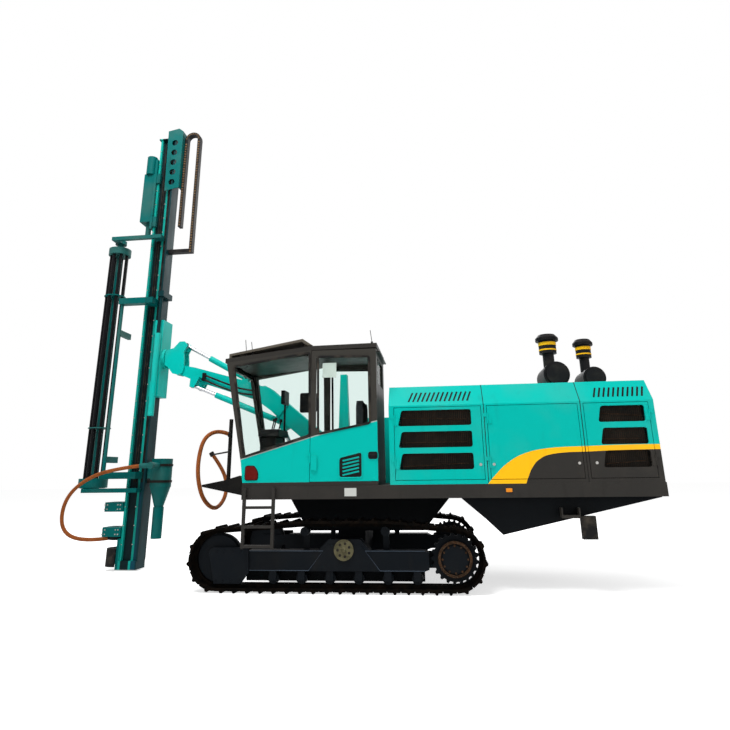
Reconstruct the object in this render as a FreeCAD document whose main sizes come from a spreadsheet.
import FreeCAD, Part
import math
import os
import re

import Sketcher

# A top hammer drilling rig on crawler tracks, in millimetres.
# +X is forward, +Y the machine's left, +Z up, with the ground at Z = 0.

V = FreeCAD.Vector
doc = FreeCAD.newDocument("drilling_rig")
sheet = doc.addObject("Spreadsheet::Sheet", "sizes")

# Driving sizes: name, value in millimetres or degrees
SIZES = [
    # Tracks and their frames
    ("pivot_x", -345),
    ("track_centre_y", 985),
    ("shoe_width", 330),
    ("shoe_pitch", 154),
    ("shoe_plate", 18),
    ("grouser", 22),
    ("chain_depth", 45),
    ("chain_width", 130),
    ("wheel_radius", 270),
    ("wheel_clear", 3.1),
    ("idler_x", 1135),
    ("wheel_base", 2730),
    ("carrier_spacing", 940),
    ("carrier_top", 695),
    ("carrier_radius", 50),
    ("roller_radius", 62),
    ("roller_spacing", 330),
    ("roller_count", 6),
    ("sprocket_teeth", 21),
    ("tooth_depth", 26),
    ("hub_radius", 190),
    ("frame_bottom", 225),
    ("frame_top", 440),
    ("frame_width", 180),
    ("frame_crown", 560),
    ("crown_half", 180),
    ("frame_plate", 15),
    ("axle_size", 220),
    ("pivot_disc_z", 450),
    ("pivot_disc_radius", 110),
    ("pivot_disc_depth", 30),
    ("seat_gap", 0.3),
    ("door_gap", 6),
    # Centre frame, deck and belly
    ("centre_half", 440),
    ("girder_width", 140),
    ("centre_bottom", 600),
    ("deck_top", 1150),
    ("deck_depth", 150),
    ("deck_front", 875),
    ("deck_rear", -3935),
    ("deck_half", 1130),
    ("deck_flange", 110),
    ("deck_web", 20),
    ("deck_plate", 12),
    ("belly_front", -1695),
    ("belly_knee_x", -1965),
    ("belly_knee_z", 770),
    ("belly_low_x", -2145),
    ("belly_low_z", 600),
    ("belly_half", 1010),
    ("belly_wall", 8),
    ("step_rear", -2985),
    ("step_length", 200),
    ("step_low", 780),
    ("chute_rear", -3150),
    ("chute_front", -2995),
    ("chute_top", 800),
    ("chute_low", 560),
    # Hood over the power pack
    ("hood_front", -895),
    ("hood_rear", -3925),
    ("hood_top", 2300),
    ("hood_fold", 2050),
    ("hood_slant", 200),
    ("hood_wall", 14),
    ("hood_sill", 1195),
    ("door_top", 2030),
    ("door_thick", 25),
    ("seam_one", -2015),
    ("seam_two", -3115),
    ("post_width", 60),
    ("knuckle_radius", 8),
    ("knuckle_length", 80),
    ("engine_front", -1250),
    ("engine_rear", -3350),
    ("engine_half", 480),
    ("engine_top", 1980),
    ("cooler_depth", 110),
    # Cab
    ("cab_left", 1120),
    ("cab_right", 100),
    ("cab_wall", 40),
    ("cab_rear", -755),
    ("cab_seam", 55),
    ("cab_belt_x", 905),
    ("cab_belt_z", 1420),
    ("cab_brow_x", 1155),
    ("roof_front_z", 2700),
    ("roof_seam_z", 2825),
    ("roof_rear_z", 2835),
    ("roof_thick", 55),
    ("glass_thick", 6),
    # Boom, seen from the side at rest
    ("boom_y", -450),
    ("swing_x", -45),
    ("lift_pin_x", 105),
    ("lift_pin_z", 1620),
    ("elbow_x", 1110),
    ("elbow_z", 2450),
    ("head_x", 2485),
    ("head_z", 2870),
    ("boom_half", 88),
    ("arm_half", 74),
    ("cheek_thick", 28),
    ("pin_radius", 32),
    ("pin_gap", 0.4),
    ("lift_base_x", 500),
    ("lift_base_z", 1290),
    ("lift_eye_x", 798),
    ("lift_eye_z", 1940),
    ("fold_base_x", 880),
    ("fold_base_z", 2050),
    ("fold_eye_x", 2180),
    ("fold_eye_z", 2590),
    ("fold_offset", 158),
    ("tilt_base_x", 1400),
    ("tilt_base_z", 2700),
    ("tilt_eye_x", 2400),
    ("tilt_eye_z", 3250),
    ("ram_eye", 42),
    ("ram_neck", 22),
    ("tube_start", 55),
    ("bore_start", 70),
    ("eye_margin", 2),
    ("lug_thick", 26),
    ("lug_top", 35),
    ("small_pin", 20),
    # Feed: the vertical beam and what rides on it
    ("feed_swing_z", 3050),
    ("mount_rear", 2705),
    ("mount_low", 2450),
    ("mount_high", 3650),
    ("beam_rear", 2835),
    ("beam_front", 3121),
    ("beam_bottom", 130),
    ("beam_top", 6950),
    ("flange_half", 120),
    ("flange_thick", 28),
    ("rail_half", 105),
    ("rail_thick", 34),
    ("web_half", 62),
    ("drill_x", 3251),
    ("rod_radius", 24),
    ("rod_length", 3660),
    ("rod_bottom", 1180),
    ("carousel_x", 3712),
    ("carousel_ring", 125),
    ("carousel_radius", 235),
    ("carousel_rods", 7),
    ("jaw_low_z", 455),
    ("jaw_high_z", 795),
    ("jaw_height", 130),
    ("carriage_bottom", 5250),
    ("carriage_top", 6300),
    ("arm_shaft_x", 3419),
    ("arm_shaft_y", -200),
    ("arm_shaft_radius", 25),
    ("rod_arm_reach", 301),
    ("arm_low_z", 1480),
    ("arm_high_z", 3400),
    ("holder_low_z", 1250),
    ("holder_high_z", 3905),
    ("holder_height", 95),
    ("branch_rear", 2900),
    ("branch_front", 3050),
    ("branch_y", -290),
    ("bearing_radius", 90),
    ("bearing_depth", 60),
    ("foot_z", 20),
    ("guide_top", 430),
    ("boot_radius", 165),
    ("boot_low", 60),
    ("boot_high", 300),
]
for row, (name, value) in enumerate(SIZES, start=1):
    sheet.set(f"A{row}", name)
    sheet.set(f"B{row}", str(value))
    sheet.setAlias(f"B{row}", name)
doc.recompute()
NAMES = {name for name, value in SIZES}
NODES = {}


def ref(text):
    """Give an expression with each size taken from the sheet."""
    return re.sub(r"[A-Za-z_]\w*", lambda m: "sizes." + m[0] if m[0] in NAMES else m[0], str(text))


def number(text):
    """Work out an expression in the sheet's sizes."""
    value = sheet.evalExpression(str(text))
    return float(value.Value if hasattr(value, "Value") else value)


def bind(thing, prop, text):
    thing.setExpression(prop, ref(text))


def box(name, x, y, z):
    """A block between two values on each axis."""
    block = doc.addObject("Part::Box", name)
    for prop, (low, high) in zip(("Length", "Width", "Height"), (x, y, z)):
        bind(block, prop, f"({high}) - ({low})")
    for axis, (low, high) in zip("xyz", (x, y, z)):
        bind(block, f".Placement.Base.{axis}", low)
    return block


TURNS = {"X": (V(0, 1, 0), 90), "Y": (V(1, 0, 0), -90), "Z": (V(0, 0, 1), 0)}


def bar(name, axis, centre, radius, span):
    """A round bar along an axis; centre gives the other two coordinates in order."""
    rod = doc.addObject("Part::Cylinder", name)
    rod.Placement = FreeCAD.Placement(V(0, 0, 0), FreeCAD.Rotation(*TURNS[axis]))
    bind(rod, "Radius", radius)
    bind(rod, "Height", f"({span[1]}) - ({span[0]})")
    base = list(centre)
    base.insert("XYZ".index(axis), span[0])
    for letter, text in zip("xyz", base):
        bind(rod, f".Placement.Base.{letter}", text)
    return rod


def draw_loop(sketch, points):
    """Add a closed polygon whose corners are bound to the sheet."""
    first = sketch.GeometryCount
    spots = [V(number(u), number(v), 0) for u, v in points]
    count = len(points)
    for i in range(count):
        sketch.addGeometry(Part.LineSegment(spots[i], spots[(i + 1) % count]), False)
    for i in range(count):
        sketch.addConstraint(Sketcher.Constraint("Coincident", first + i, 2, first + (i + 1) % count, 1))
    for i, (u, v) in enumerate(points):
        for kind, text, value in (("DistanceX", u, spots[i].x), ("DistanceY", v, spots[i].y)):
            index = sketch.addConstraint(Sketcher.Constraint(kind, first + i, 1, value))
            sketch.setExpression(f"Constraints[{index}]", ref(text))


def draw_circle(sketch, u, v, radius):
    """Add a circle whose centre and radius are bound to the sheet."""
    spot = V(number(u), number(v), 0)
    ring = sketch.addGeometry(Part.Circle(spot, V(0, 0, 1), number(radius)), False)
    for kind, text, value in (("DistanceX", u, spot.x), ("DistanceY", v, spot.y)):
        index = sketch.addConstraint(Sketcher.Constraint(kind, ring, 3, value))
        sketch.setExpression(f"Constraints[{index}]", ref(text))
    index = sketch.addConstraint(Sketcher.Constraint("Radius", ring, number(radius)))
    sketch.setExpression(f"Constraints[{index}]", ref(radius))


def slab(name, plane, outline, span, holes=(), circles=()):
    """A body padded from one outline on a plane, between two values across it."""
    body = doc.addObject("PartDesign::Body", name)
    sketch = body.newObject("Sketcher::SketchObject", name + "_sketch")
    origin = [item for item in body.Origin.OriginFeatures if item.Role == plane + "_Plane"][0]
    sketch.AttachmentSupport = [(origin, "")]
    sketch.MapMode = "FlatFace"
    start = f"-({span[1]})" if plane == "XZ" else span[0]
    bind(sketch, ".AttachmentOffset.Base.z", start)
    for points in [outline, *holes]:
        draw_loop(sketch, points)
    for circle in circles:
        draw_circle(sketch, *circle)
    pad = body.newObject("PartDesign::Pad", name + "_pad")
    pad.Profile = sketch
    bind(pad, "Length", f"({span[1]}) - ({span[0]})")
    return body


def fuse(name, parts):
    if len(parts) == 1:
        return parts[0]
    whole = doc.addObject("Part::MultiFuse", name)
    whole.Shapes = parts
    whole.Refine = True
    return whole


def cut(name, base, tools):
    whole = doc.addObject("Part::Cut", name)
    whole.Base = base
    whole.Tool = fuse(name + "_tools", tools)
    whole.Refine = True
    return whole


def group(name, parts):
    """Separate solids of one node."""
    whole = doc.addObject("Part::Compound", name)
    whole.Links = parts
    return whole


def plain(name, shape):
    """A feature whose shape is worked out here."""
    feature = doc.addObject("Part::Feature", name)
    feature.Shape = shape
    feature.Placement = shape.Placement
    return feature


def node(label, thing):
    thing.Label = label
    NODES[label] = thing
    return thing


def lay(thing, start, end, across="boom_y"):
    """Lay a piece made along local X from a start pin towards an end pin, both (x, z)."""
    thing.Placement = FreeCAD.Placement(V(0, 0, 0), FreeCAD.Rotation(V(0, -1, 0), 30))
    bind(thing, ".Placement.Base.x", start[0])
    bind(thing, ".Placement.Base.y", across)
    bind(thing, ".Placement.Base.z", start[1])
    rise = f"({end[1]}) - ({start[1]})"
    run = f"({end[0]}) - ({start[0]})"
    bind(thing, ".Placement.Rotation.Angle", f"atan2({rise}; {run})")
    return thing


def span_about(centre, half):
    return (f"({centre}) - ({half})", f"({centre}) + ({half})")


WHEEL_Z = "wheel_radius + chain_depth + shoe_plate + grouser"
SPROCKET_X = "idler_x - wheel_base"
GROUND_RUN = "chain_depth + shoe_plate + grouser"
SIDES = (("left", 1), ("right", -1))


def track_path():
    """The chain's inner line as lines and arcs, each a list of points from the ground run on."""
    radius = number("wheel_radius")
    height = number(WHEEL_Z)
    front = V(number("idler_x"), height, 0)
    rear = V(number(SPROCKET_X), height, 0)
    half = number("carrier_spacing") / 2
    top = number("carrier_top")
    crown_front = V(number("pivot_x") + half, top, 0)
    crown_rear = V(number("pivot_x") - half, top, 0)

    def touch(centre, far, turn):
        """Angle where a line from a far point touches the wheel's circle."""
        reach = far - centre
        return math.atan2(reach.y, reach.x) + turn * math.acos(radius / reach.Length)

    up = touch(front, crown_front, -1)
    down = touch(rear, crown_rear, 1)

    def arc(centre, start, end):
        middle = (start + end) / 2
        spots = [centre + V(radius * math.cos(a), radius * math.sin(a), 0) for a in (start, middle, end)]
        return Part.Arc(*spots).toShape()

    lead = arc(front, -math.pi / 2, up)
    trail = arc(rear, down, 1.5 * math.pi)
    edges = [
        Part.LineSegment(rear - V(0, radius, 0), front - V(0, radius, 0)).toShape(),
        lead,
        Part.LineSegment(lead.valueAt(lead.LastParameter), crown_front).toShape(),
        Part.LineSegment(crown_front, crown_rear).toShape(),
        Part.LineSegment(crown_rear, trail.valueAt(trail.FirstParameter)).toShape(),
        trail,
    ]
    return Part.Wire(edges)


def ring_face(outer, inner):
    """A face between two closed lists of points."""
    faces = [Part.Face(Part.makePolygon(points + points[:1])) for points in (outer, inner)]
    return faces[0].cut(faces[1])


def track_band(side):
    """One closed loop: shoes with their grousers, and the chain inside them."""
    path = track_path()
    count = round(path.Length / number("shoe_pitch"))
    step = path.Length / count
    spots = path.discretize(Number=count * 8 + 1)[:-1]
    depth = number("chain_depth")
    plate = number("shoe_plate")
    grouser = number("grouser")

    def out(index, height):
        """A point outside the chain's inner line, at one of eight stations a shoe."""
        total = len(spots)
        here = spots[index % total]
        along = spots[(index + 1) % total] - spots[(index - 1) % total]
        along.normalize()
        return here + V(along.y, -along.x, 0) * height

    # Stations along a shoe and heights over the chain's inner line
    tread = [
        (0, depth), (0.3, depth + plate), (2.4, depth + plate), (3, depth + plate + grouser),
        (3.9, depth + plate + grouser), (4.6, depth + plate), (7.7, depth + plate),
    ]
    outline = []
    for shoe in range(count):
        for station, height in tread:
            low = int(station)
            share = station - low
            first = out(shoe * 8 + low, height)
            second = out(shoe * 8 + low + 1, height)
            outline.append(first + (second - first) * share)
    rim = [out(i, depth) for i in range(0, len(spots), 4)]
    inner = [out(i, 0) for i in range(0, len(spots), 4)]
    width = number("shoe_width")
    chain = number("chain_width")
    shoes = ring_face(outline, [out(i, depth - 6) for i in range(0, len(spots), 4)])
    links = ring_face(rim, inner)
    shoes = shoes.extrude(V(0, 0, width))
    links = links.extrude(V(0, 0, chain))
    links.translate(V(0, 0, (width - chain) / 2))
    band = shoes.fuse(links).removeSplitter()
    band.rotate(V(0, 0, 0), V(1, 0, 0), 90)
    band.translate(V(0, side * number("track_centre_y") + width / 2, 0))
    return band


def make_tracks():
    for word, side in SIDES:
        node(f"track_{word}", plain(f"track_{word}", track_band(side)))


def make_track_frames():
    """Box frames with a crowned middle, roller brackets and the idler's yoke."""
    frames = []
    for word, side in SIDES:
        mid = f"({side} * track_centre_y)"
        rear = f"{SPROCKET_X} + wheel_radius + 20"
        front = "idler_x - wheel_radius - 20"
        outline = [
            (rear, "frame_bottom + 20"), (f"{rear} + 60", "frame_bottom"),
            (f"{front} - 60", "frame_bottom"), (front, "frame_bottom + 30"),
            (front, "frame_top - 30"), (f"{front} - 60", "frame_top"),
            ("pivot_x + crown_half + 120", "frame_top"), ("pivot_x + crown_half", "frame_crown"),
            ("pivot_x - crown_half", "frame_crown"), ("pivot_x - crown_half - 120", "frame_top"),
            (f"{rear} + 60", "frame_top"), (rear, "frame_top - 20"),
        ]
        pieces = [slab(f"frame_box_{word}", "XZ", outline, span_about(mid, "frame_width / 2"))]
        # The idler's axle sits between two yoke plates
        for edge in (-1, 1):
            low = f"{mid} + {edge} * 78 - frame_plate / 2"
            pieces.append(box(
                f"yoke_{word}_{edge}", (f"{front} - 40", "idler_x + 60"),
                (low, f"{low} + frame_plate"), (f"{WHEEL_Z} - 70", f"{WHEEL_Z} + 70"),
            ))
        # The final drive's plate reaches back on the inner side
        inner = f"{mid} - {side} * 68"
        pieces.append(box(
            f"drive_plate_{word}", (f"{SPROCKET_X} - 120", f"{rear} + 40"),
            span_about(inner, "frame_plate / 2 + 6"), (f"{WHEEL_Z} - 110", f"{WHEEL_Z} + 70"),
        ))
        # Brackets for the bottom rollers, and posts for the carriers
        count = int(number("roller_count"))
        for i in range(count):
            at = f"pivot_x + ({i} - (roller_count - 1) / 2) * roller_spacing"
            for edge in (-1, 1):
                low = f"{mid} + {edge} * 80 - frame_plate / 2"
                pieces.append(box(
                    f"roller_bracket_{word}_{i}_{edge}", span_about(at, 40),
                    (low, f"{low} + frame_plate"),
                    (f"{GROUND_RUN} + roller_radius - 22", "frame_bottom + 5"),
                ))
        for end in (-1, 1):
            at = f"pivot_x + {end} * carrier_spacing / 2"
            pieces.append(box(
                f"carrier_post_{word}_{end}", span_about(at, 35),
                span_about(f"{mid} - {side} * 74", "frame_plate / 2"),
                ("frame_top - 40", "carrier_top - carrier_radius + 30"),
            ))
        pieces.append(bar(
            f"pivot_disc_{word}", "Y", ("pivot_x", "pivot_disc_z"), "pivot_disc_radius",
            span_about(f"{mid} + {side} * (frame_width / 2 + pivot_disc_depth / 2 - 2)", "pivot_disc_depth / 2"),
        ))
        frames.append(fuse(f"frame_{word}", pieces))
    node("track_frames", group("track_frames", frames))


def make_track_wheels():
    """Drive sprockets, idlers, bottom rollers and carriers."""
    wheels = []
    for word, side in SIDES:
        mid = f"({side} * track_centre_y)"
        teeth = int(number("sprocket_teeth"))
        centre = V(number(SPROCKET_X), 0, number(WHEEL_Z))
        tip = number("wheel_radius - wheel_clear")
        root = tip - number("tooth_depth")
        points = []
        for i in range(teeth):
            for share, radius in ((-0.32, root), (-0.14, tip), (0.14, tip), (0.32, root)):
                angle = 2 * math.pi * (i + share) / teeth
                points.append(centre + V(radius * math.cos(angle), -28, radius * math.sin(angle)))
        disc = Part.Face(Part.makePolygon(points + points[:1])).extrude(V(0, 56, 0))
        hub = Part.makeCylinder(number("hub_radius"), 60 + number("frame_width") / 2 - 6,
                                V(centre.x, 0 - side * 52, centre.z), V(0, side, 0))
        cap = Part.makeCylinder(number("hub_radius") - 50, 22,
                                V(centre.x, side * (number("frame_width") / 2), centre.z), V(0, side, 0))
        wheel = disc.fuse([hub, cap]).removeSplitter()
        wheel.translate(V(0, side * number("track_centre_y"), 0))
        wheels.append(plain(f"sprocket_{word}", wheel))
        idler = [
            bar(f"idler_rim_{word}", "Y", ("idler_x", WHEEL_Z), "wheel_radius - wheel_clear", span_about(mid, 28)),
            bar(f"idler_tread_{word}", "Y", ("idler_x", WHEEL_Z), "wheel_radius - 22", span_about(mid, 60)),
            bar(f"idler_axle_{word}", "Y", ("idler_x", WHEEL_Z), 45, span_about(mid, "78 - frame_plate / 2 - seat_gap")),
        ]
        wheels.append(fuse(f"idler_{word}", idler))
        spots = [
            (f"pivot_x + ({i} - (roller_count - 1) / 2) * roller_spacing", f"{GROUND_RUN} + roller_radius + seat_gap",
             "roller_radius", "80 - frame_plate / 2 - seat_gap")
            for i in range(int(number("roller_count")))
        ]
        spots += [
            (f"pivot_x + {end} * carrier_spacing / 2", "carrier_top - carrier_radius - wheel_clear",
             "carrier_radius", "74 - frame_plate / 2 - seat_gap")
            for end in (-1, 1)
        ]
        for i, (x, z, radius, reach) in enumerate(spots):
            roller = [
                bar(f"roller_{word}_{i}", "Y", (x, z), radius, span_about(mid, 60)),
                bar(f"roller_axle_{word}_{i}", "Y", (x, z), "18", span_about(mid, reach)),
            ]
            wheels.append(fuse(f"roller_whole_{word}_{i}", roller))
    node("track_wheels", group("track_wheels", wheels))


def make_centre_frame():
    """The cross axle between the track frames and the pedestal under the deck."""
    top = "deck_top - deck_depth - seat_gap"
    outline = [
        ("pivot_x + 800", top), ("pivot_x + 560", "centre_bottom"),
        ("pivot_x - 900", "centre_bottom"), ("pivot_x - 1250", top),
    ]
    inner = "track_centre_y - frame_width / 2 - seat_gap"
    pieces = [
        slab("girder_left", "XZ", outline, ("centre_half - girder_width", "centre_half")),
        slab("girder_right", "XZ", outline, ("-centre_half", "girder_width - centre_half")),
        box("cross_axle", span_about("pivot_x", "axle_size / 2"), (f"-({inner})", inner),
            ("frame_top - axle_size + 60", "frame_top + 60")),
        box("axle_saddle", span_about("pivot_x", "axle_size / 2 + 60"), ("-centre_half", "centre_half"),
            ("frame_top", "centre_bottom + 20")),
    ]
    node("centre_frame", fuse("centre_frame", pieces))


def make_deck():
    """A ladder frame under a plate."""
    low = "deck_top - deck_depth"
    pieces = [box("deck_plate_piece", ("deck_rear", "deck_front"), ("-deck_half", "deck_half"),
                  ("deck_top - deck_plate", "deck_top"))]
    for word, side in SIDES:
        pieces.append(box(f"deck_web_{word}", ("deck_rear", "deck_front"),
                          span_about(f"{side} * (deck_half - deck_web / 2)", "deck_web / 2"),
                          (low, "deck_top - deck_plate")))
        pieces.append(box(f"deck_flange_{word}", ("deck_rear", "deck_front"),
                          span_about(f"{side} * (deck_half - deck_flange / 2)", "deck_flange / 2"),
                          (low, f"{low} + deck_plate")))
        pieces.append(box(f"deck_rib_{word}", ("deck_rear", "deck_front"),
                          span_about(f"{side} * (centre_half - girder_width / 2)", "girder_width / 2"),
                          (low, "deck_top - deck_plate")))
    crossings = 8
    for i in range(crossings):
        at = f"deck_rear + deck_web / 2 + {i} * (deck_front - deck_rear - deck_web) / {crossings - 1}"
        pieces.append(box(f"deck_cross_{i}", span_about(at, "deck_web / 2"), ("-deck_half", "deck_half"),
                          (low, "deck_top - deck_plate")))
    node("deck_frame", fuse("deck_frame", pieces))


def make_belly():
    """The tub below the power pack, open to the deck."""
    top = "deck_top - deck_depth - seat_gap"
    outline = [("belly_front", top), ("belly_knee_x", "belly_knee_z"),
               ("belly_low_x", "belly_low_z"), ("deck_rear + 30", f"{top} - 10"), ("deck_rear + 30", top)]
    hollow = [("belly_front - 60", f"{top} + 5"), ("belly_knee_x - 20", "belly_knee_z + 15"),
              ("belly_low_x - 10", "belly_low_z + belly_wall + 6"), ("deck_rear + 300", f"{top} - 30"),
              ("deck_rear + 300", f"{top} + 5")]
    outer = slab("belly_outer", "XZ", outline, ("-belly_half", "belly_half"))
    inner = slab("belly_inner", "XZ", hollow, ("-belly_half + belly_wall", "belly_half - belly_wall"))
    node("belly_tub", cut("belly_tub", outer, [inner]))


def knuckles(word, x, side, heights, wide):
    """Hinge knuckles outside a face, with a leaf towards the piece that holds them."""
    face = f"{side} * {wide}"
    axis_y = f"{side} * ({wide} + knuckle_radius + 1)"
    pieces = []
    for i, (low, toward) in enumerate(heights):
        span = (low, f"{low} + knuckle_length")
        pieces.append(bar(f"{word}_knuckle_{i}", "Z", (x, axis_y), "knuckle_radius", span))
        ends = (x, f"{x} + {toward} * 45") if toward > 0 else (f"{x} + {toward} * 45", x)
        leaf = (face, f"{face} + 7") if side > 0 else (f"{face} - 7", face)
        pieces.append(box(f"{word}_leaf_{i}", ends, leaf, span))
    return pieces


# Hood doors: name, side, rear edge, front edge, where the hinge is (1 front, -1 rear)
HOOD_DOORS = [
    ("left_front", 1, "seam_one", "hood_front", 1),
    ("left_middle", 1, "seam_two", "seam_one", 1),
    ("left_rear", 1, "hood_rear", "seam_two", -1),
    ("right_front", -1, "(seam_one + seam_two) / 2", "hood_front", 1),
    ("right_rear", -1, "hood_rear", "(seam_one + seam_two) / 2", -1),
]
HINGE_HEIGHTS = ("hood_sill + 130", "door_top - 130 - knuckle_length")


def door_edges(rear, front):
    """Where a door's opening starts and ends between its posts."""
    low = f"{rear} + post_width" if rear == "hood_rear" else f"{rear} + post_width / 2"
    high = f"{front} - post_width" if front == "hood_front" else f"{front} - post_width / 2"
    return low, high


def make_hood():
    """The folded hood with an opening for each side door."""
    base = "deck_top + seat_gap"

    def section(inset, drop):
        wide = f"deck_half - {inset}"
        shoulder = f"deck_half - hood_slant - {inset} * 0.6"
        return [(f"-({wide})", f"{base} - {drop}"), (wide, f"{base} - {drop}"),
                (wide, f"hood_fold - {inset} * 0.4"), (shoulder, f"hood_top - {inset}"),
                (f"-({shoulder})", f"hood_top - {inset}"), (f"-({wide})", f"hood_fold - {inset} * 0.4")]

    outer = slab("hood_outer", "YZ", section("0", "0"), ("hood_rear", "hood_front"))
    inner = slab("hood_inner", "YZ", section("hood_wall", "5"),
                 ("hood_rear + hood_wall", "hood_front - hood_wall"))
    tools = [inner]
    extras = []
    for word, side, rear, front, hinge in HOOD_DOORS:
        low, high = door_edges(rear, front)
        mid = f"{side} * (deck_half - hood_wall / 2)"
        tools.append(box(f"opening_{word}", (low, high), span_about(mid, "hood_wall / 2 + 3"),
                         ("hood_sill", "door_top")))
        edge = high if hinge > 0 else low
        x = f"{edge} - {hinge} * door_gap"
        for i, height in enumerate(HINGE_HEIGHTS):
            above = f"{height} + knuckle_length + seat_gap"
            axis_y = f"{side} * (deck_half + knuckle_radius + 1)"
            extras.append(bar(f"frame_pin_{word}_{i}", "Z", (x, axis_y), "knuckle_radius",
                              (above, f"{above} + knuckle_length / 2")))
            ends = (x, f"{edge} + 40") if hinge > 0 else (f"{edge} - 40", x)
            face = f"{side} * deck_half"
            leaf = (f"{face} - 0", f"{face} + 7") if side > 0 else (f"{face} - 7", f"{face} + 0")
            extras.append(box(f"frame_leaf_{word}_{i}", ends, leaf, (above, f"{above} + knuckle_length / 2")))
    shell = cut("hood_shell", outer, tools)
    node("hood", fuse("hood", [shell, *extras]))


def make_hood_doors():
    """Flat doors with slanted-end grille windows and hinge knuckles."""
    for word, side, rear, front, hinge in HOOD_DOORS:
        low, high = door_edges(rear, front)
        low = f"{low} + door_gap"
        high = f"{high} - door_gap"
        bottom = "hood_sill + door_gap"
        top = "door_top - door_gap"
        outline = [(low, bottom), (high, bottom), (high, top), (low, top)]
        holes = []
        if word != "left_middle":
            for i in range(3):
                base = f"{bottom} + 110 + {i} * 245"
                holes.append([(f"{low} + 90", base), (f"{high} - 90", base),
                              (f"{high} - 130", f"{base} + 180"), (f"{low} + 90", f"{base} + 180")])
        mid = f"{side} * (deck_half - door_thick / 2)"
        pieces = [slab(f"door_panel_{word}", "XZ", outline, span_about(mid, "door_thick / 2"), holes)]
        if holes:
            pieces += grille_bars(word, low, high, bottom, mid)
        x = high if hinge > 0 else low
        heights = [(height, -hinge) for height in HINGE_HEIGHTS]
        pieces += knuckles(f"door_{word}", x, side, heights, "deck_half")
        node(f"hood_door_{word}", fuse(f"hood_door_{word}", pieces))


def grille_bars(word, low, high, bottom, mid):
    """Upright bars across the three windows, recessed in the door."""
    bars = []
    count = 7
    for i in range(count):
        at = f"{low} + 90 + ({high} - {low} - 180) * {i + 1} / {count + 1}"
        bars.append(box(f"grille_{word}_{i}", span_about(at, 7), span_about(mid, 5),
                        (f"{bottom} + 100", f"{bottom} + 110 + 2 * 245 + 190")))
    return bars


def make_power_pack():
    node("power_pack", box("power_pack", ("engine_rear", "engine_front"), ("-engine_half", "engine_half"),
                           ("deck_top + seat_gap", "engine_top")))
    base = "deck_top + seat_gap"
    blocks = []
    for word, side in SIDES:
        for i, (low, high) in enumerate((("seam_one + 100", "hood_front - 150"), ("hood_rear + 130", "seam_two - 90"))):
            mid = f"{side} * (deck_half - hood_wall - 45 - cooler_depth / 2)"
            blocks.append(box(f"cooler_{word}_{i}", (low, high), span_about(mid, "cooler_depth / 2"),
                              (base, "door_top - 20")))
    node("coolers", group("coolers", blocks))


ROOF_SEAM = "(cab_seam + 3)"


def roof_under(x):
    """Height of the roof's underside over the front part of the cab."""
    slope = f"(roof_seam_z - roof_front_z) / (cab_brow_x + 15 - {ROOF_SEAM})"
    return f"roof_seam_z - roof_thick - ({x} - {ROOF_SEAM}) * {slope}"


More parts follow.
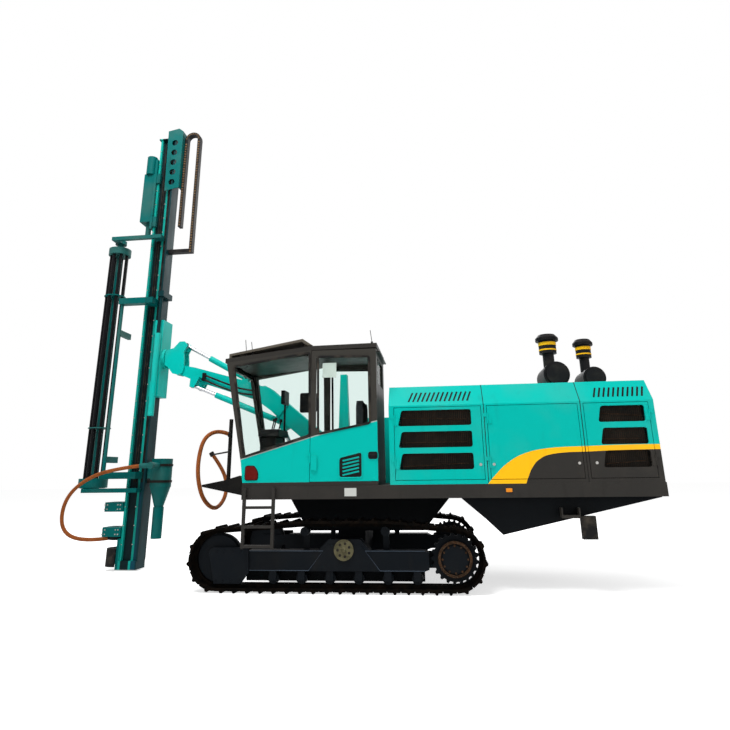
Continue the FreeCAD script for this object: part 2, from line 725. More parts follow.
def make_cab():
    base = "deck_top + seat_gap"
    roof = "roof_seam_z - roof_thick - seat_gap"
    node("cab_floor", box("cab_floor", ("cab_rear", "deck_front"), ("cab_right", "cab_left"),
                          (base, f"{base} + cab_wall")))
    sill = f"{base} + cab_wall + seat_gap"
    brow = ("cab_brow_x - 5", f"{roof_under('cab_brow_x - 5')} - seat_gap")
    front_edge = [("deck_front", sill), ("cab_belt_x", "cab_belt_z"), brow]
    front_window = [("cab_belt_x - 20", "cab_belt_z + 190"), ("cab_brow_x - 120", f"{brow[1]} - 60"),
                    ("cab_seam + 130", f"{roof} - 85"), ("cab_seam + 120", "cab_belt_z + 370")]
    rear_window = [("cab_seam - 60", "cab_belt_z + 390"), ("cab_seam - 60", f"{roof} - 95"),
                   ("cab_rear + 200", f"{roof} - 95"), ("cab_rear + 220", "cab_belt_z + 490")]
    left_span = ("cab_left - cab_wall", "cab_left")
    right_span = ("cab_right", "cab_right + cab_wall")
    left = [("cab_seam + door_gap", sill), *front_edge,
            ("cab_seam + door_gap", f"{roof_under('(cab_seam + door_gap)')} - seat_gap")]
    left_panel = slab("left_panel", "XZ", left, left_span, [front_window])
    pins = []
    for i, height in enumerate(CAB_HINGES):
        above = f"{height} + knuckle_length + seat_gap"
        axis_y = "cab_left + knuckle_radius + 1"
        span = (above, f"{above} + knuckle_length / 2")
        pins.append(bar(f"cab_pin_{i}", "Z", ("cab_seam", axis_y), "knuckle_radius", span))
        pins.append(box(f"cab_pin_leaf_{i}", ("cab_seam", "cab_seam + 46"), ("cab_left", "cab_left + 7"), span))
    node("cab_left_wall", fuse("cab_left_wall", [left_panel, *pins]))
    right = [("cab_rear", sill), *front_edge, (ROOF_SEAM, roof),
             ("cab_rear", "roof_rear_z - roof_thick - seat_gap")]
    node("cab_right_wall", slab("cab_right_wall", "XZ", right, right_span, [front_window, rear_window]))

    inside = ("cab_right + cab_wall + seat_gap", "cab_left - cab_wall - seat_gap")
    rear_hole = [(f"{inside[0]} + 110", "hood_top + 70"), (f"{inside[1]} - 110", "hood_top + 70"),
                 (f"{inside[1]} - 110", f"{roof} - 90"), (f"{inside[0]} + 110", f"{roof} - 90")]
    rear_wall = [(inside[0], sill), (inside[1], sill), (inside[1], f"{roof} - 2"), (inside[0], f"{roof} - 2")]
    node("cab_rear_wall", slab("cab_rear_wall", "YZ", rear_wall, ("cab_rear", "cab_rear + cab_wall"), [rear_hole]))
    front = [("deck_front", sill), ("cab_belt_x", "cab_belt_z"), brow,
             ("cab_brow_x - 45 - 5", f"{roof_under('cab_brow_x - 50')} - seat_gap"),
             ("cab_belt_x - cab_wall - 2", "cab_belt_z"), ("deck_front - cab_wall", sill)]
    pane_hole = box("pane_hole", ("deck_front", "cab_brow_x + 60"), (f"{inside[0]} + 60", f"{inside[1]} - 60"),
                    ("cab_belt_z + 60", f"{brow[1]} - 80"))
    node("cab_front_frame", cut("cab_front_frame", slab("front_frame_blank", "XZ", front, inside), [pane_hole]))

    roof_line = [("cab_brow_x + 15", "roof_front_z"), (ROOF_SEAM, "roof_seam_z"), ("cab_rear - 10", "roof_rear_z"),
                 ("cab_rear - 10", "roof_rear_z - roof_thick"), (ROOF_SEAM, "roof_seam_z - roof_thick"),
                 ("cab_brow_x + 15", "roof_front_z - roof_thick")]
    node("cab_roof", slab("cab_roof", "XZ", roof_line, ("cab_right", "cab_left")))
    guard = [("cab_brow_x - 10", "roof_front_z + 15"), ("cab_brow_x - 10", "roof_front_z + 72"),
             (f"{ROOF_SEAM} + 130", "roof_seam_z + 110"), (ROOF_SEAM, "roof_seam_z + 22"),
             (f"{ROOF_SEAM} + 60", "roof_seam_z + 22"), (f"{ROOF_SEAM} + 140", "roof_seam_z + 75"),
             ("cab_brow_x - 40", "roof_front_z + 46"), ("cab_brow_x - 40", "roof_front_z + 17")]
    tray = slab("guard_tray", "XZ", guard, ("cab_right + 60", "cab_left - 60"))
    feet = [box(f"guard_foot_{i}_{k}", (f"cab_seam + {60 + 850 * i}", f"cab_seam + {120 + 850 * i}"),
                (f"cab_right + {120 + 720 * k}", f"cab_right + {180 + 720 * k}"),
                (f"roof_seam_z - {8 + 98 * i}", f"roof_seam_z + {60 - 75 * i}"))
            for i in (0, 1) for k in (0, 1)]
    node("roof_guard", cut("roof_guard", fuse("guard_whole", [tray, *feet]), [NODES["cab_roof"]]))

    # Panes a hair inside their openings
    def shrink(points):
        mid_u = "(" + " + ".join(f"({u})" for u, v in points) + f") / {len(points)}"
        mid_v = "(" + " + ".join(f"({v})" for u, v in points) + f") / {len(points)}"
        return [(f"({u}) + (({mid_u}) - ({u})) * 0.0015", f"({v}) + (({mid_v}) - ({v})) * 0.0015")
                for u, v in points]

    panes = [
        slab("pane_left", "XZ", shrink(front_window), span_about("cab_left - cab_wall / 2", "glass_thick / 2")),
        slab("pane_right_front", "XZ", shrink(front_window), span_about("cab_right + cab_wall / 2", "glass_thick / 2")),
        slab("pane_right_rear", "XZ", shrink(rear_window), span_about("cab_right + cab_wall / 2", "glass_thick / 2")),
        slab("pane_rear", "YZ", shrink(rear_hole), span_about("cab_rear + cab_wall / 2", "glass_thick / 2")),
    ]
    low = "cab_belt_z + 60 + seat_gap"
    high = f"{brow[1]} - 80 - seat_gap"
    lean = f"(cab_brow_x - 5 - cab_belt_x) / (({brow[1]}) - cab_belt_z)"
    start = f"cab_belt_x + ({low} - cab_belt_z) * {lean} - 20"
    end = f"cab_belt_x + ({high} - cab_belt_z) * {lean} - 20"
    pane = [(start, low), (f"{start} + glass_thick", low), (f"{end} + glass_thick", high), (end, high)]
    panes.append(slab("pane_front", "XZ", pane, (f"{inside[0]} + 60 + seat_gap", f"{inside[1]} - 60 - seat_gap")))
    node("cab_glass", group("cab_glass", panes))

    # Door in the left side, hinged at its front edge
    door = [("cab_rear", f"{sill} + 5"), ("cab_seam", f"{sill} + 5"), ("cab_seam", f"{roof} - 6"),
            ("cab_rear", f"{roof} - 6")]
    panel = slab("cab_door_panel", "XZ", door, left_span, [rear_window])
    leaves = knuckles("cab_door", "cab_seam", 1, [(height, -1) for height in CAB_HINGES], "cab_left")
    node("cab_door", fuse("cab_door", [panel, *leaves]))
    node("cab_door_glass", slab("cab_door_glass", "XZ", shrink(rear_window),
                                span_about("cab_left - cab_wall / 2", "glass_thick / 2")))

    seat = [
        box("seat_base", ("cab_seam - 420", "cab_seam + 20"), ("cab_left - 750", "cab_left - 350"), (sill, f"{sill} + 300")),
        box("seat_cushion", ("cab_seam - 470", "cab_seam + 60"), ("cab_left - 810", "cab_left - 290"),
            (f"{sill} + 295", f"{sill} + 420")),
        box("seat_back", ("cab_seam - 560", "cab_seam - 440"), ("cab_left - 790", "cab_left - 310"),
            (f"{sill} + 330", f"{sill} + 1000")),
    ]
    console = [
        box("console_base", ("cab_belt_x - 330", "cab_belt_x - 130"), ("cab_left - 700", "cab_left - 330"), (sill, f"{sill} + 560")),
        box("console_top", ("cab_belt_x - 380", "cab_belt_x - 120"), ("cab_left - 760", "cab_left - 270"),
            (f"{sill} + 555", f"{sill} + 640")),
        bar("monitor_stand", "Z", ("cab_belt_x - 320", "cab_right + 230"), "14", (sill, f"{sill} + 1150")),
        box("monitor", ("cab_belt_x - 350", "cab_belt_x - 300"), ("cab_right + 130", "cab_right + 370"),
            (f"{sill} + 1000", f"{sill} + 1180")),
    ]
    node("cab_seat", fuse("cab_seat", seat))
    node("cab_console", group("cab_console", [fuse("console_desk", console[:2]), fuse("console_screen", console[2:])]))


CAB_HINGES = ("deck_top + 260", "roof_seam_z - 420")


def ladder_and_steps():
    x = "cab_seam + 400"
    pieces = [
        box("ladder_rail_rear", (x, f"{x} + 35"), ("deck_half + 25", "deck_half + 60"), ("470", "deck_top - 20")),
        box("ladder_rail_front", (f"{x} + 350", f"{x} + 385"), ("deck_half + 25", "deck_half + 60"), ("470", "deck_top - 20")),
    ]
    for i in range(3):
        pieces.append(box(f"rung_{i}", (x, f"{x} + 385"), ("deck_half + 22", "deck_half + 64"),
                          (f"480 + {i} * 210", f"510 + {i} * 210")))
    for i in (0, 1):
        pieces.append(box(f"ladder_hook_{i}", (f"{x} + {350 * i}", f"{x} + {350 * i} + 35"),
                          ("deck_half + seat_gap", "deck_half + 30"), ("deck_top - 90", "deck_top - 20")))
    across = ("belly_half + seat_gap", "deck_half")
    plate = ("step_low", "step_low + 110")
    tread = [
        box("step_tread", ("step_rear", "step_rear + step_length"), across, ("step_low", "step_low + 30")),
        box("step_plate", ("step_rear", "step_rear + 12"), across, plate),
        box("step_plate_front", ("step_rear + step_length - 12", "step_rear + step_length"), across, plate),
    ]
    node("steps", group("steps", [fuse("ladder", pieces), fuse("rear_step", tread)]))


def make_deck_fittings():
    ladder_and_steps()
    roof = "hood_top + seat_gap"
    cleaners = []
    for i, (x, y, scale) in enumerate((("hood_rear + 900", "250", 1.0), ("hood_rear + 330", "-150", 0.9))):
        cleaners.append(fuse(f"cleaner_{i}", [
            bar(f"filter_drum_{i}", "Y", (x, f"{roof} + 175"), f"{165 * scale}", (f"{y} - 300", f"{y} + 230")),
            bar(f"filter_cap_{i}", "Y", (x, f"{roof} + 175"), f"{130 * scale}", (f"{y} + 225", f"{y} + 260")),
            box(f"filter_foot_{i}", (f"{x} - 80", f"{x} + 80"), (f"{y} - 220", f"{y} + 160"), (roof, f"{roof} + 60")),
            bar(f"intake_neck_{i}", "Z", (x, f"{y} - 200"), f"{75 * scale}", (f"{roof} + 150", f"{roof} + 620")),
            bar(f"intake_bowl_{i}", "Z", (x, f"{y} - 200"), f"{115 * scale}", (f"{roof} + 520", f"{roof} + 700")),
            bar(f"intake_lid_{i}", "Z", (x, f"{y} - 200"), f"{150 * scale}", (f"{roof} + 695", f"{roof} + 740")),
        ]))
    node("air_cleaners", group("air_cleaners", cleaners))
    post = [("-150", "deck_top + seat_gap"), ("60", "deck_top + seat_gap"), ("10", "2780"), ("-90", "2780")]
    node("feed_rest", slab("feed_rest", "XZ", post, ("-990", "-850")))
    node("drain_chute", box("drain_chute", ("chute_rear", "chute_front"), ("belly_half + seat_gap", "belly_half + 90"),
                            ("chute_low", "chute_top")))
    node("side_cabinet", box("side_cabinet", ("cab_rear - 60", "cab_seam - 320"), ("-deck_half + 10", "-650"),
                             ("deck_top + seat_gap", "2080")))


def eye_half(rod_radius):
    """Half the width of a cylinder's eye, so that its rod clears the lugs."""
    return f"({rod_radius} + eye_margin)"


def lug_span(rod_radius, edge, centre="0"):
    """Where one of two lugs beside a cylinder's eye lies, across the boom."""
    middle = f"({centre}) + {edge} * ({eye_half(rod_radius)} + seat_gap + lug_thick / 2)"
    return span_about(middle, "lug_thick / 2")


def ram(word, start, end, bore_radius, rod_radius, barrel_length, rod_length, offsets=("0",)):
    """Barrels and rods of a hydraulic cylinder laid between two pins; offsets lie across the boom."""
    barrels = []
    rods = []
    length = f"sqrt((({end[0]}) - ({start[0]}))^2 + (({end[1]}) - ({start[1]}))^2)"
    half = eye_half(rod_radius)
    for i, across in enumerate(offsets):
        tube = fuse(f"{word}_tube_{i}", [
            bar(f"{word}_tube_body_{i}", "X", (across, "0"), bore_radius, ("tube_start", barrel_length)),
            bar(f"{word}_neck_{i}", "X", (across, "0"), "ram_neck", ("ram_eye / 2", "bore_start - 5")),
            bar(f"{word}_base_eye_{i}", "Y", ("0", "0"), "ram_eye", span_about(across, half)),
        ])
        bores = [
            bar(f"{word}_bore_{i}", "X", (across, "0"), f"{rod_radius} + 0.5", ("bore_start", f"{barrel_length} + 5")),
            bar(f"{word}_base_bore_{i}", "Y", ("0", "0"), "small_pin + pin_gap", span_about(across, f"{half} + 5")),
        ]
        barrels.append(cut(f"{word}_barrel_{i}", tube, bores))
        rods.append(fuse(f"{word}_rod_{i}", [
            bar(f"{word}_rod_body_{i}", "X", (across, "0"), rod_radius,
                (f"{length} - ({rod_length})", f"{length} - 20")),
            bar(f"{word}_rod_eye_{i}", "Y", (length, "0"), "ram_eye", span_about(across, half)),
        ]))
    barrel = group(f"{word}_barrel", barrels) if len(barrels) > 1 else barrels[0]
    rod = group(f"{word}_rod", rods) if len(rods) > 1 else rods[0]
    lay(barrel, start, end)
    lay(rod, start, end)
    node(f"{word}_barrel", barrel)
    node(f"{word}_rod", rod)


# Bore radius, rod radius, barrel length and rod length of each cylinder
LIFT_RAM = ("50", "30", "472", "465")
FOLD_RAM = ("42", "24", "1010", "900")
TILT_RAM = ("45", "26", "685", "650")


def make_boom():
    lift_pin = ("lift_pin_x", "lift_pin_z")
    elbow = ("elbow_x", "elbow_z")
    head = ("head_x", "head_z")
    # Foot on the deck: two lugs and the upright pin
    base = "deck_top + seat_gap"
    foot = [
        box("foot_block", ("swing_x - 300", "swing_x - 130"), span_about("boom_y", "150"), (base, "1500")),
        box("foot_low", ("swing_x - 140", "swing_x + 90"), span_about("boom_y", "110"), (base, f"{base} + 45")),
        box("foot_high", ("swing_x - 140", "swing_x"), span_about("boom_y", "75"), ("1455", "1500")),
        bar("foot_nose", "Z", ("swing_x", "boom_y"), "75", ("1455", "1500")),
        bar("foot_pin", "Z", ("swing_x", "boom_y"), "38", (base, "1500")),
    ]
    node("boom_foot", fuse("boom_foot", foot))
    hub = bar("turret_hub", "Z", ("swing_x", "boom_y"), "88", (f"{base} + 46", "1454"))
    web = [("swing_x + 60", f"{base} + 50"), ("lift_base_x + 20", f"{base} + 60"), ("lift_base_x + 20", "lift_base_z - 65"),
           ("lift_pin_x + 60", "1440"), ("swing_x + 60", "1440")]
    cheek = [("swing_x + 40", f"{base} + 50"), ("lift_base_x + 70", f"{base} + 60"), ("lift_base_x + 70", "lift_base_z + 40"),
             ("lift_base_x - 40", "lift_base_z + 60"), ("lift_pin_x + 110", "lift_pin_z - 60"), ("lift_pin_x + 90", "lift_pin_z + 60"),
             ("lift_pin_x + 20", "lift_pin_z + 100"), ("lift_pin_x - 60", "lift_pin_z + 60"), ("lift_pin_x - 90", "lift_pin_z - 40"),
             ("swing_x + 100", "1510"), ("swing_x + 85", "1440"), ("swing_x + 40", "1440")]
    pieces = [hub, slab("turret_web", "XZ", web, span_about("boom_y", "70"))]
    for edge in (-1, 1):
        low = f"boom_y + {edge} * (boom_half + 2 + cheek_thick / 2)"
        pieces.append(slab(f"turret_cheek_{'left' if edge > 0 else 'right'}", "XZ", cheek,
                           span_about(low, "cheek_thick / 2")))
    pieces.append(bar("lift_pin", "Y", lift_pin, "pin_radius", span_about("boom_y", "boom_half + 5")))
    pieces.append(bar("lift_ram_pin", "Y", ("lift_base_x", "lift_base_z"), "small_pin", span_about("boom_y", "boom_half + 5")))
    pieces.append(box("turret_floor", ("swing_x + 60", "lift_base_x + 70"), span_about("boom_y", "boom_half + 10"),
                      (f"{base} + 50", f"{base} + 85")))
    turret = cut("turret_whole", fuse("turret_solid", pieces),
                 [bar("turret_bore", "Z", ("swing_x", "boom_y"), "38 + pin_gap", (base, "1500"))])
    node("boom_turret", turret)

    length = "sqrt((elbow_x - lift_pin_x)^2 + (elbow_z - lift_pin_z)^2)"
    outline = [("-60", "60"), ("200", "125"), (f"{length} - 260", "130"), (f"{length} - 170", "90"),
               (f"{length} - 170", "-110"), (f"{length} - 560", "-125"), ("250", "-120"), ("-60", "-60")]
    boxed = [
        slab("boom_box", "XZ", outline, ("-boom_half", "boom_half")),
        bar("boom_eye", "Y", ("0", "0"), "90", ("-boom_half", "boom_half")),
    ]
    plate = [(f"{length} - 420", "-100"), (f"{length} - 60", "-125"), (f"{length} + 60", "-105"), (f"{length} + 120", "-30"),
             (f"{length} + 110", "50"), (f"{length} + 40", "115"), (f"{length} - 60", "130"), (f"{length} - 420", "120")]
    for edge in (-1, 1):
        at = f"{edge} * (arm_half + 3 + cheek_thick / 2)"
        boxed.append(slab(f"elbow_cheek_{'left' if edge > 0 else 'right'}", "XZ", plate, span_about(at, "cheek_thick / 2")))
    boxed.append(bar("elbow_pin", "Y", (length, "0"), "pin_radius", span_about("0", "arm_half + 6")))
    # Lug for the lift ram's eye and pins for the fold rams, in the boom's own frame
    along = f"((elbow_x - lift_pin_x) / {length})"
    rise = f"((elbow_z - lift_pin_z) / {length})"

    def local(x, z, pin=lift_pin, cosine=along, sine=rise):
        run = f"(({x}) - {pin[0]})"
        up = f"(({z}) - {pin[1]})"
        return (f"{run} * {cosine} + {up} * {sine}", f"{up} * {cosine} - {run} * {sine}")

    eye = local("lift_eye_x", "lift_eye_z")
    lug = [(f"{eye[0]} - 90", "-100"), (f"{eye[0]} + 90", "-100"), (f"{eye[0]} + 40", f"{eye[1]} - 30"), (f"{eye[0]} - 40", f"{eye[1]} - 30")]
    for edge in (-1, 1):
        boxed.append(slab(f"lift_lug_{'left' if edge > 0 else 'right'}", "XZ", lug, lug_span(LIFT_RAM[1], edge)))
    fold = local("fold_base_x", "fold_base_z")
    lug = [(f"{fold[0]} - 60", "-90"), (f"{fold[0]} + 70", "-90"), (f"{fold[0]} + 35", f"{fold[1]} - 35"), (f"{fold[0]} - 35", f"{fold[1]} - 35")]
    boxed.append(slab("fold_lug", "XZ", lug, ("-60", "60")))
    boxed.append(bar("fold_pin", "Y", fold, "small_pin", span_about("0", "fold_offset + 30")))
    node("lower_boom", lay(cut("lower_boom_bored", fuse("lower_boom_solid", boxed),
                               [bar("boom_bore", "Y", ("0", "0"), "pin_radius + pin_gap", ("-200", "200"))]),
                           lift_pin, elbow))

    length = "sqrt((head_x - elbow_x)^2 + (head_z - elbow_z)^2)"
    along = f"((head_x - elbow_x) / {length})"
    rise = f"((head_z - elbow_z) / {length})"
    outline = [("-40", "90"), ("150", "115"), (f"{length} - 260", "95"), (f"{length} - 60", "75"), (length, "60"),
               (length, "-60"), (f"{length} - 80", "-75"), (f"{length} - 300", "-95"), ("150", "-115"), ("-40", "-90")]
    armed = [
        slab("arm_box", "XZ", outline, ("-arm_half", "arm_half")),
        bar("arm_rear_eye", "Y", ("0", "0"), "100", ("-arm_half", "arm_half")),
        bar("arm_front_eye", "Y", (length, "0"), "78", ("-arm_half", "arm_half")),
    ]
    eye = local("fold_eye_x", "fold_eye_z", elbow, along, rise)
    for edge in (-1, 1):
        for face in (-1, 1):
            low = [(f"{eye[0]} - 60", "-60"), (f"{eye[0]} + 70", "-60"), (f"{eye[0]} + 35", f"{eye[1]} - 30"), (f"{eye[0]} - 35", f"{eye[1]} - 30")]
            armed.append(slab(f"fold_eye_lug_{edge + 2}_{face + 2}", "XZ", low,
                              lug_span(FOLD_RAM[1], face, f"{edge} * fold_offset")))
    armed.append(box("fold_beam", (f"{eye[0]} - 60", f"{eye[0]} + 70"),
                     span_about("0", f"fold_offset + {eye_half(FOLD_RAM[1])} + seat_gap + lug_thick"), ("-60", "-30")))
    base_pin = local("tilt_base_x", "tilt_base_z", elbow, along, rise)
    lug = [(f"{base_pin[0]} - 50", "80"), (f"{base_pin[0]} + 50", "80"), (f"{base_pin[0]} + lug_top", f"{base_pin[1]} + 30"),
           (f"{base_pin[0]} - lug_top", f"{base_pin[1]} + 30")]
    for edge in (-1, 1):
        armed.append(slab(f"tilt_lug_{edge + 2}", "XZ", lug, lug_span(TILT_RAM[1], edge)))
    armed.append(bar("tilt_base_pin", "Y", base_pin, "small_pin", span_about("0", "40")))
    bores = [bar("arm_rear_bore", "Y", ("0", "0"), "pin_radius + pin_gap", ("-200", "200")),
             bar("arm_front_bore", "Y", (length, "0"), "pin_radius + pin_gap", ("-200", "200"))]
    node("forearm", lay(cut("forearm_bored", fuse("forearm_solid", armed), bores), elbow, head))

    ram("lift_ram", ("lift_base_x", "lift_base_z"), ("lift_eye_x", "lift_eye_z"), *LIFT_RAM)
    ram("fold_ram", ("fold_base_x", "fold_base_z"), ("fold_eye_x", "fold_eye_z"), *FOLD_RAM,
        ("-fold_offset", "fold_offset"))
    ram("tilt_ram", ("tilt_base_x", "tilt_base_z"), ("tilt_eye_x", "tilt_eye_z"), *TILT_RAM)


def make_feed_head():
    head = ("head_x", "head_z")
    outline = [("2400", "2800"), ("2470", "2780"), ("2560", "2800"), ("2640", "2900"), ("mount_rear - 5", "2940"),
               ("mount_rear - 5", "3160"), ("2570", "3200"), ("2480", "3300"), ("2400", "3300"), ("2350", "3240"),
               ("2400", "3130"), ("2385", "3000"), ("2380", "2880")]
    pieces = []
    for edge in (-1, 1):
        at = f"boom_y + {edge} * (arm_half + 3 + cheek_thick / 2)"
        pieces.append(slab(f"bracket_cheek_{edge + 2}", "XZ", outline, span_about(at, "cheek_thick / 2")))
    pieces += [
        bar("head_pin", "Y", head, "pin_radius", span_about("boom_y", "arm_half + 6")),
        bar("swing_housing", "X", ("boom_y", "feed_swing_z"), "95", ("2610", "mount_rear - 5")),
        box("bracket_web", ("2600", "mount_rear - 5"), span_about("boom_y", "arm_half + 10"), ("2960", "3140")),
        bar("swing_pin", "X", ("boom_y", "feed_swing_z"), "45", ("2600", "mount_rear + 45")),
    ]
    for edge in (-1, 1):
        inner = f"boom_y + {edge} * ({eye_half(TILT_RAM[1])} + seat_gap)"
        outer = f"boom_y + {edge} * (arm_half + 5)"
        pieces.append(box(f"tilt_eye_block_{edge + 2}", ("2400", "2470"),
                          (inner, outer) if edge > 0 else (outer, inner), ("3165", "3290")))
    node("tilt_bracket", fuse("tilt_bracket", pieces))

    low = ("mount_low", "mount_low + 230")
    high = ("mount_high - 230", "mount_high")
    plate = [
        bar("mount_disc", "X", ("boom_y", "feed_swing_z"), "150", ("mount_rear", "mount_rear + 45")),
        box("mount_plate", ("mount_rear + 40", "beam_rear - 50"), span_about("boom_y", "155"), ("mount_low", "mount_high")),
    ]
    for i, z in enumerate((low, high)):
        plate.append(box(f"shoe_pad_{i}", ("beam_rear - 55", "beam_rear - 0.8"), span_about("boom_y", "100"), z))
        for edge in (-1, 1):
            jaw = f"boom_y + {edge} * (flange_half + 18)"
            plate.append(box(f"shoe_side_{i}_{edge + 2}", ("beam_rear - 60", "beam_rear + flange_thick + 22"),
                             span_about(jaw, "17.2"), z))
            lip = f"boom_y + {edge} * (flange_half - 6)"
            plate.append(box(f"shoe_lip_{i}_{edge + 2}", ("beam_rear + flange_thick + 0.8", "beam_rear + flange_thick + 22"),
                             span_about(lip, "28"), z))
    side_y = "boom_y + flange_half + 85"
    plate.append(bar("extension_barrel", "Z", ("beam_rear - 35", side_y), "46", ("2150", "3420")))
    plate.append(box("extension_clamp", ("beam_rear - 60", "beam_rear - 10"), ("boom_y + 130", f"{side_y} - 20"), ("2460", "2560")))
    plate.append(box("extension_clamp_high", ("beam_rear - 60", "beam_rear - 10"), ("boom_y + 130", f"{side_y} - 20"), ("3300", "3400")))
    bores = [
        bar("mount_bore", "X", ("boom_y", "feed_swing_z"), "45 + pin_gap", ("mount_rear - 5", "mount_rear + 46")),
        bar("extension_bore", "Z", ("beam_rear - 35", side_y), "26.5", ("2190", "3430")),
    ]
    node("feed_mount", cut("feed_mount", fuse("feed_mount_solid", plate), bores))


def branch(name, front, left, span):
    """An arm from the beam's web, out past the carriage's path and forward."""
    root = box(f"{name}_root", ("branch_rear", "branch_front"), ("boom_y + web_half + seat_gap", left), span)
    along = box(f"{name}_along", ("branch_rear", front), ("branch_y", left), span)
    return fuse(name, [root, along])


def make_feed():
    """The beam's section is a wide rear flange, a web and the front rails."""
    y = "boom_y"
    section = [
        ("beam_rear", f"{y} - flange_half"), ("beam_rear + flange_thick", f"{y} - flange_half"),
        ("beam_rear + flange_thick", f"{y} - web_half"), ("beam_front - rail_thick", f"{y} - web_half"),
        ("beam_front - rail_thick", f"{y} - rail_half"), ("beam_front", f"{y} - rail_half"),
        ("beam_front", f"{y} + rail_half"), ("beam_front - rail_thick", f"{y} + rail_half"),
        ("beam_front - rail_thick", f"{y} + web_half"), ("beam_rear + flange_thick", f"{y} + web_half"),
        ("beam_rear + flange_thick", f"{y} + flange_half"), ("beam_rear", f"{y} + flange_half"),
    ]
    side_y = f"{y} + flange_half + 85"
    beam = [
        slab("beam_section", "XY", section, ("beam_bottom", "beam_top")),
        box("beam_foot", ("beam_rear + 10", "beam_front + 40"), span_about(y, "130"), ("foot_z", "beam_bottom + 5")),
        box("boot_guide", ("beam_front - 5", "beam_front + 40"), span_about(y, "130"), ("foot_z", "guide_top")),
        box("rod_bracket", ("beam_rear - 90", "beam_rear + 5"), (f"{y} - 60", f"{side_y} + 45"), ("4020", "4110")),
        bar("extension_rod", "Z", ("beam_rear - 35", side_y), "26", ("2560", "4030")),
        box("beam_head_plate", ("beam_rear + 20", "beam_front + 30"), span_about(y, "flange_half"), ("beam_top - 2", "beam_top + 20")),
    ]
    node("feed_beam", fuse("feed_beam", beam))
    holes = [("2850", f"6100 + {i} * 190", "55") for i in range(5)]
    panel = slab("box_side", "XZ", [("2715", "5990"), ("2960", "5940"), ("2985", "7100"), ("2790", "7140"), ("2715", "7080")],
                 (f"{y} + flange_half + 8", f"{y} + flange_half + 20"), (), holes)
    back = box("box_back", ("2715", "2735"), (f"{y} - 60", f"{y} + flange_half + 20"), ("6000", "7080"))
    seat = box("box_seat", ("2735", "beam_rear - seat_gap"), (f"{y} - 60", f"{y} + 60"), ("6100", "6300"))
    node("hose_box", fuse("hose_box", [panel, back, seat]))
    chain = [("2490", "4560"), ("2490", "6650"), ("2560", "6740"), ("2640", "6740"), ("2690", "6650"), ("2690", "5300"), ("2640", "5300"),
             ("2640", "6620"), ("2600", "6680"), ("2580", "6680"), ("2545", "6620"), ("2545", "4560")]
    links = slab("chain_links", "XZ", chain, (f"{y} - 50", f"{y} + 50"))
    shelf = box("chain_shelf", ("2545", "beam_rear - seat_gap"), (f"{y} - 40", f"{y} + 40"), ("4570", "4640"))
    node("hose_chain", fuse("hose_chain", [links, shelf]))

    ring_low = "rod_bottom - 60"
    ring_high = "rod_bottom + rod_length"
    body = [
        bar("carousel_tube", "Z", ("carousel_x", y), "45", (ring_low, f"{ring_high} + 200")),
        bar("carousel_low", "Z", ("carousel_x", y), "carousel_ring + 50", (ring_low, "rod_bottom - seat_gap")),
        bar("carousel_high", "Z", ("carousel_x", y), "carousel_radius - 60", (f"{ring_high} + seat_gap", f"{ring_high} + 110")),
    ]
    node("rod_carousel", fuse("rod_carousel", body))
    rods = []
    count = int(number("carousel_rods"))
    for i in range(count):
        angle = f"360deg * {i} / carousel_rods + 180deg / carousel_rods"
        rods.append(bar(f"store_rod_{i}", "Z", (f"carousel_x + carousel_ring * cos({angle})", f"{y} + carousel_ring * sin({angle})"),
                        "rod_radius", ("rod_bottom", ring_high)))
    node("drill_rods", group("drill_rods", rods))
    arms = []
    for i, low in enumerate((f"{ring_low} - bearing_depth - seat_gap", f"{ring_high} + 200 + seat_gap")):
        span = (low, f"{low} + bearing_depth")
        arms.append(fuse(f"carousel_arm_{i}", [
            bar(f"bearing_{i}", "Z", ("carousel_x", y), "bearing_radius", span),
            branch(f"reach_{i}", "carousel_x + 40", "branch_y + 70", span),
            box(f"cross_{i}", ("carousel_x - 60", "carousel_x + 40"), (y, "branch_y + 70"), span),
        ]))

    jaws = []
    for i, z in enumerate(("jaw_low_z", "jaw_high_z")):
        block = box(f"jaw_{i}", ("beam_front + seat_gap", "drill_x + 150"), span_about(y, "140"), (z, f"{z} + jaw_height"))
        jaws.append(cut(f"jaw_bored_{i}", block, [bar(f"jaw_bore_{i}", "Z", ("drill_x", y), "60", (f"{z} - 5", f"{z} + jaw_height + 5"))]))
    node("clamp_jaws", group("clamp_jaws", jaws))

    shaft = ("arm_shaft_x", "arm_shaft_y")
    swing = [bar("arm_shaft", "Z", shaft, "arm_shaft_radius", ("holder_low_z + 5", "holder_high_z + holder_height - 5"))]
    for i, z in enumerate(("arm_low_z", "arm_high_z")):
        swing.append(box(f"rod_arm_{i}", span_about("arm_shaft_x", "24"),
                         ("arm_shaft_y - rod_arm_reach - 20", "arm_shaft_y + 20"), (z, f"{z} + 90")))
    node("rod_arms", fuse("rod_arms", swing))
    for i, z in enumerate(("holder_low_z", "holder_high_z")):
        span = (z, f"{z} + holder_height")
        plate = branch(f"holder_{i}", "arm_shaft_x + 45", "arm_shaft_y + 45", span)
        arms.append(cut(f"holder_bored_{i}", plate, [
            bar(f"holder_bore_{i}", "Z", shaft, "arm_shaft_radius + pin_gap", (f"{z} - 5", f"{z} + holder_height + 5"))]))
    node("carousel_frame", group("carousel_frame", arms))

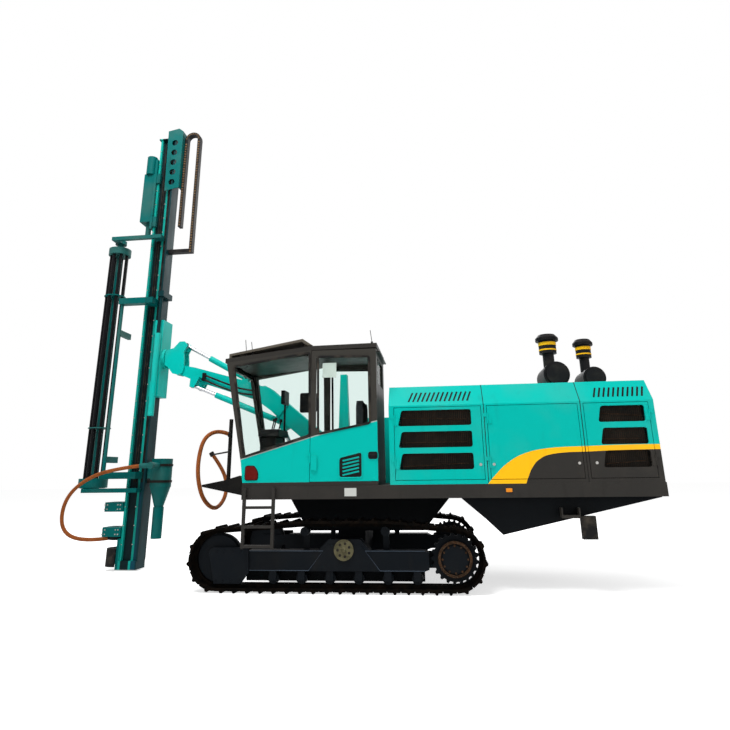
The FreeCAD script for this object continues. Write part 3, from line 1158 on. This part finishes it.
    saddle = [
        box("saddle_plate", ("beam_front + 1", "beam_front + 40"), span_about(y, "150"), ("carriage_bottom", "carriage_top + 250")),
        box("drill_body", ("beam_front + 35", "drill_x + 115"), span_about(y, "105"), ("carriage_bottom + 150", "carriage_top")),
        bar("drill_shank", "Z", ("drill_x", y), "45", ("carriage_bottom - 60", "carriage_bottom + 160")),
        bar("motor_front", "Z", ("drill_x + 20", f"{y} + 60"), "85", ("carriage_top - 5", "carriage_top + 330")),
        bar("motor_rear", "Z", ("drill_x + 20", f"{y} - 70"), "75", ("carriage_top - 5", "carriage_top + 260")),
    ]
    for edge in (-1, 1):
        for i, z in enumerate(("carriage_bottom + 40", "carriage_top - 200")):
            saddle.append(box(f"hook_side_{edge + 2}_{i}", ("beam_front - rail_thick - 25", "beam_front + 20"),
                              span_about(f"{y} + {edge} * (rail_half + 15)", "14.2"), (z, f"{z} + 180")))
            saddle.append(box(f"hook_lip_{edge + 2}_{i}", ("beam_front - rail_thick - 25", "beam_front - rail_thick - 1"),
                              span_about(f"{y} + {edge} * (rail_half - 5)", "20"), (z, f"{z} + 180")))
    node("drill_carriage", fuse("drill_carriage", saddle))

    hood = cut("hood_ring", bar("boot", "Z", ("drill_x - 60", y), "boot_radius", ("boot_low", "boot_high")),
               [bar("boot_inside", "Z", ("drill_x - 60", y), "boot_radius - 25", ("boot_low - 10", "boot_high - 20")),
                bar("boot_rod_hole", "Z", ("drill_x", y), "75", ("boot_low", "boot_high + 20")),
                box("boot_back", ("beam_rear", "beam_front + 40 + seat_gap"), span_about(y, "boot_radius + 5"),
                    ("boot_low - 10", "boot_high + 20"))])
    node("dust_hood", hood)
    body = [
        bar("separator_drum", "Z", ("beam_rear - 190", y), "150", ("1130", "1530")),
        box("separator_seat", ("beam_rear - 60", "beam_rear - seat_gap"), span_about(y, "60"), ("1250", "1450")),
    ]
    cone = doc.addObject("Part::Cone", "separator_cone")
    cone.Radius1 = 60
    cone.Radius2 = 148
    cone.Height = 300
    bind(cone, ".Placement.Base.x", "beam_rear - 190")
    bind(cone, ".Placement.Base.y", y)
    cone.Placement.Base.z = 840
    tip = bar("separator_tip", "Z", ("beam_rear - 190", y), "75", ("420", "850"))
    node("dust_separator", fuse("dust_separator", [*body, cone, tip]))


make_tracks()
make_track_frames()
make_track_wheels()
make_centre_frame()
make_deck()
make_belly()
make_hood()
make_hood_doors()
make_power_pack()
make_cab()
make_deck_fittings()
make_boom()
make_feed_head()
make_feed()

doc.recompute()
for thing in doc.Objects:
    if "Invalid" in thing.State or "Error" in thing.State:
        raise ValueError(f"{thing.Name} did not build: {thing.State}")
for label, thing in NODES.items():
    if thing.Shape.isNull() or not thing.Shape.isValid():
        raise ValueError(f"{label} is null or invalid")

os.makedirs("parts", exist_ok=True)
for label, thing in NODES.items():
    thing.Shape.exportStep(f"parts/{label}.step")
    size = thing.Shape.BoundBox
    print(f"{label}: solids {len(thing.Shape.Solids)}, volume {thing.Shape.Volume / 1e9:.4f} m3,"
          f" x {size.XMin:.0f} {size.XMax:.0f}, y {size.YMin:.0f} {size.YMax:.0f}, z {size.ZMin:.0f} {size.ZMax:.0f}")
